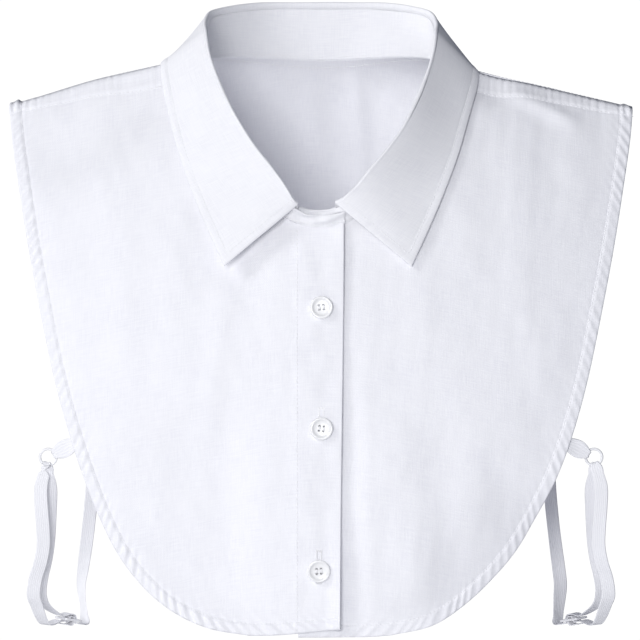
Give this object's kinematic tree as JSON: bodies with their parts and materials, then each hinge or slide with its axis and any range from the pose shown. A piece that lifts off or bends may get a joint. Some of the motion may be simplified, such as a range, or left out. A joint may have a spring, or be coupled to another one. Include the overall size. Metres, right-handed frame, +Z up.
{
  "type": "dickey",
  "caption": "Detachable shirt front with a turned-down collar, buttoned lapped fronts, a back panel and adjustable side straps, in its worn form.",
  "frame": {"origin": "middle of the neck opening, level with the back neck seam, where the wearer's neck holds the collar up", "axes": "+Z up, +X to the viewer's right as seen from the front, and the buttoned front faces -Y"},
  "size_m": [0.3704, 0.1684, 0.3709],
  "materials": {
    "cotton": "fine plain-weave cotton, matt",
    "button": "polished white resin",
    "elastic": "narrow ribbed elastic tape",
    "plastic": "smooth white moulded plastic"
  },
  "bodies": {
    "root": {"front_panel_right": "cotton", "front_panel_left": "cotton", "back_panel": "cotton", "collar_stand": "cotton", "collar_leaf": "cotton", "button_1": "button", "button_2": "button", "button_3": "button", "strap_tab_right": "elastic", "strap_ring_right": "plastic", "strap_tape_right": "elastic", "strap_slider_right": "plastic", "strap_tab_left": "elastic", "strap_ring_left": "plastic", "strap_tape_left": "elastic", "strap_slider_left": "plastic"}
  },
  "joints": []
}
